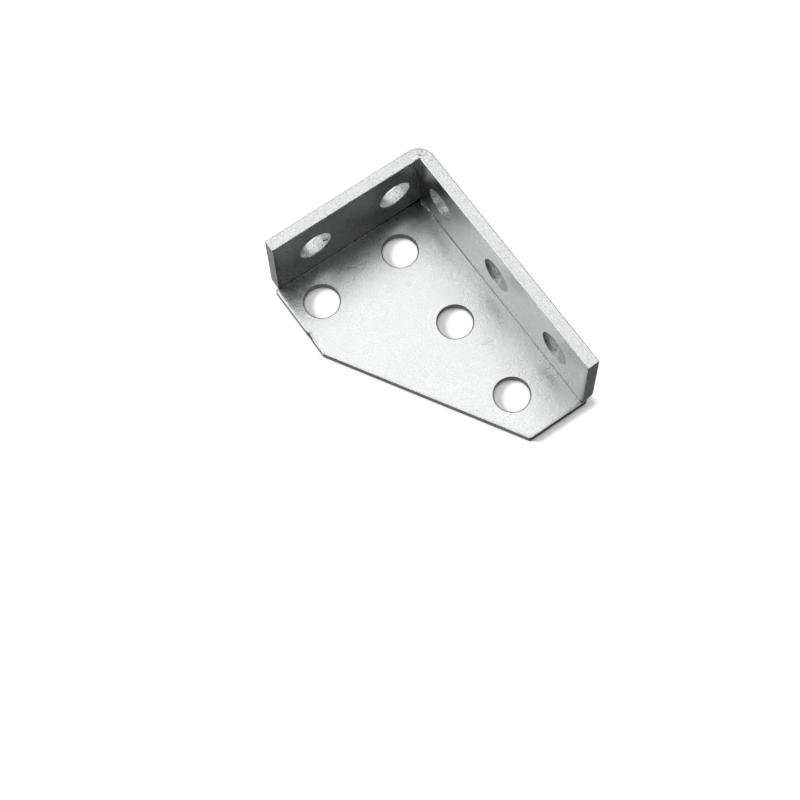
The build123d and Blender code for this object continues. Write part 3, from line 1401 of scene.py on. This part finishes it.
class BeadTree(GeometryTree):
    """Geometry Nodes that lay a rippled weld bead along a seam.

    The seam is a line of points on the bar's outer face. Each carries the direction outwards and the
    width of the step that the bead fills.
    """

    PROFILE_POINTS = 48

    def __init__(self) -> None:
        """Builds the tree."""
        super().__init__("rippled_bead", ("Spacing", "Low", "High", "Round", "Ripple Pitch", "Ripple"), {})
        path, travel = self.even_line(), self.travel()
        total = self.value("GeometryNodeSplineLength", {}, {}, "Length") * (1 / MM)
        path = self.store(path, "travel", travel)
        path = self.store(path, "to_end", travel.at_most(total - travel))
        path = self.store(path, "seam", self.position(), "FLOAT_VECTOR")
        inputs = {"Curve": path, "Profile Curve": self.profile(), "Fill Caps": True}
        self.end(self.shaped(self.value("GeometryNodeCurveToMesh", {}, inputs)))

    def profile(self) -> Value:
        """A square of unit size whose points keep their share across and up.

        Returns:
            The square.
        """
        square = self.value("GeometryNodeCurvePrimitiveQuadrilateral", {}, {"Width": MM, "Height": MM})
        inputs = {"Curve": square, "Count": self.PROFILE_POINTS}
        square = self.value("GeometryNodeResampleCurve", {"mode": "COUNT"}, inputs)
        x, y, _ = self.position().parts()
        return self.store(self.store(square, "across", x + 0.5), "up", y + 0.5)

    def shaped(self, swept: Value) -> Value:
        """Moves the swept square's points to the bead's rounded and rippled shape.

        Args:
            swept: The square along the seam.

        Returns:
            The bead, with how far each point lies between ripples.
        """
        across, up, travel = self.read("across"), self.read("up"), self.read("travel")
        seam, outwards = self.read("seam", "FLOAT_VECTOR"), self.read("outwards", "FLOAT_VECTOR")
        width, to_end = self.read("width"), self.read("to_end")
        low, high, radius = self.given("Low"), self.given("High"), self.given("Round")
        inward = (1.0 - across) * width
        height = low + up * (high - low)
        corner_in = (radius - inward).at_least(0.0)
        corner_up = (radius - (height - low)).at_least(0.0)
        reach = (corner_in * corner_in + corner_up * corner_up) ** 0.5
        pull = 1.0 - (radius / reach.at_least(0.001)).at_most(1.0)
        inward = inward + corner_in * pull
        height = height + corner_up * pull
        wavy = self.noise(self.vector(travel, self.given("Seed") * 5.7, 0.0), 3.5) * 0.9
        bow = (up - 0.55) * (up - 0.55) * 2.2
        phase = (travel + wavy + bow) / self.given("Ripple Pitch")
        crest = self.value("ShaderNodeMath", {"operation": "FRACT"}, {0: phase})
        valley = (abs(crest - 0.5) * 2.0) ** 2.4
        open_face = across.step(0.06, 0.30) * up.step(1.0, 0.86)
        sink = open_face * (self.given("Ripple") * valley + 0.30 * to_end.step(1.4, 0.0) + 0.05) * 0.45
        inward = inward + (width * 0.9 - inward) * sink
        height = height + (low + (high - low) * 0.9 - height) * sink
        x, y, _ = (seam - outwards * inward).parts()
        moved = self.moved(swept, "Position", self.vector(x, y, height))
        return self.store(moved, "ripple", valley * open_face)


@dataclass
class CornerWeld:
    """The two runs of the corner weld below the bar's outer faces, in millimetres."""

    low: float = 0.2
    high: float = 3.175
    rounding: dict[Run, float] = field(default_factory=lambda: {Run.LONG: 2.0, Run.SHORT: 0.9})
    end_gap: dict[Run, float] = field(default_factory=lambda: {Run.LONG: 2.2, Run.SHORT: 0.6})
    seeds: dict[Run, int] = field(default_factory=lambda: {Run.LONG: 1, Run.SHORT: 2})
    spacing: float = 0.2
    ripple_pitch: float = 1.35
    ripple: float = 0.16
    bend_steps: int = 24
    plate_corner: Flat = (-15.1, 22.85)
    finish: WeldBead = WeldBead("zinc_over_weld")

    def __post_init__(self) -> None:
        """Builds the tree that both runs use."""
        self.tree = BeadTree()

    def seam(self, bar: BentBar, run: Run) -> list[tuple[Point, Point, float]]:
        """The line of one run along the bar's outer face, which meets the other run in the bend.

        Args:
            bar: The bar above the weld.
            run: Which of the two.

        Returns:
            Points with the direction outwards and the width of the step there.
        """
        (centre_x, centre_y), radius = bar.outer_bend_centre(), bar.outer_bend_radius
        corner = (self.plate_corner[0] - centre_x, self.plate_corner[1] - centre_y)
        mitre = math.atan2(corner[1], corner[0])
        across, start = (1, math.pi / 2) if run is Run.LONG else (0, math.pi)
        end = bar.long_end - self.end_gap[run] if run is Run.LONG else bar.short_end + self.end_gap[run]
        made = []
        for angle in np.linspace(start, mitre, self.bend_steps + 1):
            out = (math.cos(angle), math.sin(angle), 0.0)
            place = (centre_x + radius * out[0], centre_y + radius * out[1], 0.0)
            made.append((place, out, radius - corner[across] / out[across]))
        (x, y, _), out, width = made[0]
        first = (end, y, 0.0) if run is Run.LONG else (x, end, 0.0)
        return [(first, out, width), *made]

    def make(self, bar: BentBar, run: Run) -> bpy.types.Object:
        """Builds one run.

        Args:
            bar: The bar above the weld.
            run: Which of the two.

        Returns:
            The piece.
        """
        points, outwards, widths = zip(*self.seam(bar, run))
        piece = seam_piece(f"{run.value}_bead", points, {"outwards": outwards, "width": widths})
        self.tree.give(piece, self.finish, {
            "Spacing": self.spacing, "Low": self.low, "High": self.high, "Round": self.rounding[run],
            "Ripple Pitch": self.ripple_pitch, "Ripple": self.ripple, "Seed": self.seeds[run],
        })
        make_plain(piece, 50.0)
        close_outwards(piece.data)
        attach(piece, "root")
        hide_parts(f"{run.value}_weld")
        return piece


# Painted shade and spatter in the inner seams


class StrandTree(GeometryTree):
    """Geometry Nodes that lay an uneven dark strand along a seam, as painted shade in its gap.

    The seam is a line of points, each of which carries the strand's radius in millimetres.
    """

    def __init__(self) -> None:
        """Builds the tree."""
        super().__init__("dirt_strand", ("Spacing", "Unevenness"), {"Sides": "Int"})
        path, travel, radius = self.even_line(), self.travel(), self.read("radius")
        seed = self.given("Seed") * 3.1
        uneven = 1.0 + self.given("Unevenness") * self.noise(self.vector(travel, seed, 0.0), 2.2, 4.0, 0.7)
        sway_x, sway_y = (self.noise(self.vector(travel, seed, shift), 1.7, 2.0) for shift in (9.0, 19.0))
        moved = self.moved(path, "Offset", self.vector(sway_x, sway_y, 0.0) * (radius * 1.4))
        inputs = {"Resolution": self.given("Sides"), "Radius": MM}
        ring = self.value("GeometryNodeCurvePrimitiveCircle", {"mode": "RADIUS"}, inputs)
        self.end(self.value("GeometryNodeCurveToMesh", {}, {
            "Curve": moved, "Profile Curve": ring, "Scale": radius * uneven.at_least(0.12),
            "Fill Caps": True,
        }))


class SpatterTree(GeometryTree):
    """Geometry Nodes that scatter grains of weld spatter along a seam."""

    def __init__(self) -> None:
        """Builds the tree."""
        super().__init__("spatter", ("Smallest", "Largest"), {"Count": "Int", "Spread": "Vector"})
        inputs = {"Curve": self.line(), "Count": self.given("Count")}
        points = self.value("GeometryNodeCurveToPoints", {"mode": "COUNT"}, inputs)
        spread, smallest = self.given("Spread"), self.given("Smallest")
        strewn = self.moved(points, "Offset", self.drawn("FLOAT_VECTOR", spread * -1.0, spread, 1))
        size = smallest + (self.given("Largest") - smallest) * self.drawn("FLOAT", 0.0, 1.0, 2) ** 1.6
        uneven = self.drawn("FLOAT_VECTOR", (0.7, 0.7, 0.7), (1.3, 1.3, 1.3), 3)
        grain = self.value("GeometryNodeMeshIcoSphere", {}, {"Radius": MM, "Subdivisions": 2})
        inputs = {"Points": strewn, "Instance": grain, "Scale": uneven * size}
        self.end(self.value("GeometryNodeInstanceOnPoints", {}, inputs))

    def drawn(self, kind: str, low: Operand, high: Operand, draw: int) -> Value:
        """A random number or vector for each grain.

        Args:
            kind: Its data type.
            low: Its least value.
            high: Its greatest value.
            draw: Tells the draws of one grain apart.

        Returns:
            The number or vector.
        """
        first, output = (0, 0) if kind == "FLOAT_VECTOR" else (2, 1)
        inputs = {first: low, first + 1: high, "Seed": self.given("Seed") + 10 * draw}
        return self.value("FunctionNodeRandomValue", {"data_type": kind}, inputs, output)


@dataclass
class InnerSeams:
    """Near-black strands in the two inner seams, which paint the shade in their gaps, and grains of spatter
    beside the bend, in millimetres.
    """

    plate_top: float = 3.175
    radii: dict[Run, tuple[Flat, ...]] = field(default_factory=lambda: {
        Run.LONG: ((-13.9, 0.05), (0.0, 0.08), (10.0, 0.10), (40.0, 0.05), (94.3, 0.03)),
        Run.SHORT: (
            (19.7, 0.40), (17.4, 0.38), (16.8, 0.10), (16.0, 0.20), (14.5, 0.24), (13.5, 0.10),
            (12.0, 0.15), (9.0, 0.08), (0.0, 0.06), (-48.8, 0.05),
        ),
    })
    seeds: dict[Run, int] = field(default_factory=lambda: {Run.LONG: 1, Run.SHORT: 2})
    line_points: int = 120
    spatter_from: float = -13.4
    spatter_to: float = 0.5
    # Painted shade: the near-black strands stand in for the shade in the gaps of the two inner seams.
    flux: SeamShadeAndSpatter = SeamShadeAndSpatter("seam_flux", 0.02)
    spatter: SeamShadeAndSpatter = SeamShadeAndSpatter("seam_spatter", 0.90, roughness=0.45)

    def strand(self, bar: BentBar, run: Run) -> bpy.types.Object:
        """The strand of painted shade in one seam, which starts at the bend.

        Args:
            bar: The bar that stands on the seam.
            run: Which seam.

        Returns:
            The piece.
        """
        places, widths = np.array(self.radii[run]).T
        even, height = np.linspace(places[0], places[-1], self.line_points), self.plate_top + 0.1
        radius = np.interp(abs(even - places[0]), abs(places - places[0]), widths)
        points = [(bar.short_inner - 0.05, y, height) for y in even]
        if run is Run.LONG:
            points = [(x, bar.long_inner + 0.05, height) for x in even]
        piece = seam_piece(f"{run.value}_seam_dirt", points, {"radius": radius})
        inputs = {"Spacing": 0.3, "Sides": 8, "Unevenness": 2.4, "Seed": self.seeds[run]}
        StrandTree().give(piece, self.flux, inputs)
        return self.finished(piece)

    def grains(self, bar: BentBar) -> bpy.types.Object:
        """The grains of spatter along the long seam beside the bend.

        Args:
            bar: The bar that stands on the seam.

        Returns:
            The piece.
        """
        height = self.plate_top + 0.08
        start = (self.spatter_from, bar.long_inner - 0.30, height)
        end = (self.spatter_to, bar.long_inner - 0.20, height)
        piece = seam_piece("seam_spatter", [start, end], {})
        SpatterTree().give(piece, self.spatter, {
            "Count": 17, "Spread": (0.5, 0.34, 0.06), "Smallest": 0.08, "Largest": 0.26, "Seed": 4,
        })
        return self.finished(piece)

    def finished(self, piece: bpy.types.Object) -> bpy.types.Object:
        """Makes a piece a plain mesh that rides on the fitting.

        Args:
            piece: The piece, with its modifier.

        Returns:
            The same piece.
        """
        make_plain(piece, 60.0)
        close_outwards(piece.data)
        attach(piece, "root")
        return piece

    def make(self, bar: BentBar) -> list[bpy.types.Object]:
        """Builds the strands of painted seam shade and the spatter."""
        return [*(self.strand(bar, run) for run in Run), self.grains(bar)]


# The studio


class Lit(Enum):
    """What a lamp is hung for."""

    FITTING = "fitting"
    FLOOR = "floor"
    SPATTER = "spatter"


@dataclass(frozen=True)
class SoftLamp:
    """A round soft lamp far off, by where it hangs as seen from the fitting.

    The angles are in degrees, and width is how wide the lamp looks. Strength is in watts a square metre.
    """

    name: str
    azimuth: float
    elevation: float
    strength: float
    width: float = 26.0
    lit: Lit = Lit.FITTING


@dataclass
class Studio:
    """The pale floor, the soft lamps and the camera. The floor's sizes are in millimetres."""

    floor_reach: float = 3000.0
    floor_drop: float = 0.02
    floor_tone: float = 0.9
    world: float = 0.012
    lamps: tuple[SoftLamp, ...] = (
        SoftLamp("right_low_lamp", 30.0, 30.0, 0.186),
        SoftLamp("back_right_low_lamp", 60.0, 30.0, 0.057),
        SoftLamp("back_low_lamp", 120.0, 30.0, 0.057),
        SoftLamp("left_low_lamp", 210.0, 30.0, 0.120),
        SoftLamp("front_low_lamp", 242.0, 30.0, 0.280),
        SoftLamp("front_floor_lamp", 248.0, 6.0, 0.100),
        SoftLamp("back_lamp", 108.0, 52.0, 0.214),
        SoftLamp("back_left_lamp", 144.0, 52.0, 0.156),
        SoftLamp("left_lamp", 180.0, 52.0, 0.193),
        SoftLamp("front_left_lamp", 216.0, 52.0, 0.164),
        SoftLamp("front_lamp", 252.0, 52.0, 0.063),
        SoftLamp("back_high_lamp", 120.0, 72.0, 0.140),
        SoftLamp("left_high_lamp", 180.0, 72.0, 0.167),
        SoftLamp("front_high_lamp", 240.0, 72.0, 0.066),
        SoftLamp("under_left_lamp", 213.0, -69.0, 0.064),
        SoftLamp("under_right_lamp", 33.0, -69.0, 0.016),
        SoftLamp("under_slant_lamp", 292.0, -60.0, 0.100),
        SoftLamp("under_front_lamp", 248.0, -25.0, 0.140),
        SoftLamp("behind_left_lamp", 168.0, 8.0, 0.220, 36.0),
        SoftLamp("spatter_lamp", 327.0, 58.0, 2.6, lit=Lit.SPATTER),
        SoftLamp("floor_lamp", 230.0, 36.0, 3.5, 24.0, Lit.FLOOR),
        SoftLamp("floor_fill", 55.0, 85.0, 1.8, 60.0, Lit.FLOOR),
    )
    camera_place: Point = (0.293065, -0.192925, 0.735572)
    camera_right: Point = (0.575028, 0.818003, -0.014631)
    camera_up: Point = (-0.758877, 0.539976, 0.364048)
    camera_lens: float = 90.469
    camera_sensor: float = 36.0

    def floor(self) -> bpy.types.Object:
        """The floor, which the metal doesn't mirror.

        Returns:
            The floor's object.
        """
        half = self.floor_reach / 2
        points = [(x * half, y * half, -self.floor_drop) for x, y in ((-1, -1), (1, -1), (1, 1), (-1, 1))]
        mesh = new_mesh("floor", points, [], [(0, 1, 2, 3)])
        paper = bpy.data.materials.new("white_paper")
        paper.use_nodes = True
        shader = paper.node_tree.nodes["Principled BSDF"]
        shader.inputs["Base Color"].default_value = (*[self.floor_tone] * 3, 1.0)
        shader.inputs["Roughness"].default_value = 1.0
        shader.inputs["Specular IOR Level"].default_value = 0.0
        mesh.materials.append(paper)
        made = added("floor", mesh)
        made.visible_glossy = False
        return made

    def hang(self, lamp: SoftLamp, lit: bpy.types.Collection, shading: bpy.types.Collection) -> None:
        """Hangs one lamp.

        Args:
            lamp: The lamp.
            lit: What it lights.
            shading: What casts its shadows.
        """
        light = bpy.data.lights.new(lamp.name, "SUN")
        light.energy, light.angle = lamp.strength, math.radians(lamp.width)
        made = added(lamp.name, light)
        turn, tilt = math.radians(lamp.azimuth), math.radians(lamp.elevation)
        away = Vector((math.cos(turn) * math.cos(tilt), math.sin(turn) * math.cos(tilt), math.sin(tilt)))
        made.rotation_euler = away.to_track_quat("Z", "Y").to_euler()
        made.light_linking.receiver_collection = lit
        made.light_linking.blocker_collection = shading

    def camera(self) -> None:
        """Sets the camera at the photograph's viewing angle."""
        data = bpy.data.cameras.new("camera")
        data.lens, data.sensor_width = self.camera_lens, self.camera_sensor
        data.clip_start, data.clip_end = 0.01, 10.0
        right, up = Vector(self.camera_right), Vector(self.camera_up)
        turn = Matrix((right, up, right.cross(up))).transposed().to_4x4()
        made = added("camera", data)
        made.matrix_world = Matrix.Translation(Vector(self.camera_place)) @ turn
        bpy.context.scene.camera = made

    def build(self, pieces: Mapping[str, Sequence[bpy.types.Object]]) -> None:
        """Sets up the whole studio.

        Args:
            pieces: All pieces of the fitting, the low ones that shade the floor, and the grains of spatter.
        """
        world = bpy.data.worlds.new("studio")
        world.use_nodes = True
        world.node_tree.nodes["Background"].inputs["Color"].default_value = (1.0, 1.0, 1.0, 1.0)
        world.node_tree.nodes["Background"].inputs["Strength"].default_value = self.world
        bpy.context.scene.world = world
        bpy.context.scene.view_settings.view_transform = "Standard"
        groups = {}
        for name, members in {**pieces, "floor": [self.floor()]}.items():
            groups[name] = bpy.data.collections.new(name)
            for member in members:
                groups[name].objects.link(member)
        shading = {Lit.FITTING: "fitting", Lit.FLOOR: "low_pieces", Lit.SPATTER: "spatter"}
        for lamp in self.lamps:
            self.hang(lamp, groups[lamp.lit.value], groups[shading[lamp.lit]])
        self.camera()


def report(piece: bpy.types.Object) -> None:
    """Logs a finished piece's name, faces and size in millimetres."""
    size = " x ".join(f"{c / MM:.2f}" for c in piece.dimensions)
    LOG.info("%s: %d faces, %s mm", piece.name, len(piece.data.polygons), size)


def main() -> None:
    """Builds the fitting and its studio."""
    logging.basicConfig(level=logging.INFO, format="%(name)s: %(message)s")
    punch, bar, plate, weld = Punch(), BentBar(), GussetPlate(), CornerWeld()
    bent_bar, gusset_plate = bar.make(punch), plate.make(punch)
    beads = [weld.make(bar, run) for run in Run]
    seam_shade_and_spatter = InnerSeams().make(bar)
    pieces = [bent_bar, gusset_plate, *beads, *seam_shade_and_spatter]
    for piece in pieces:
        report(piece)
    Studio().build({"fitting": pieces, "low_pieces": [gusset_plate], "spatter": seam_shade_and_spatter[-1:]})


if __name__ == "__main__":
    main()
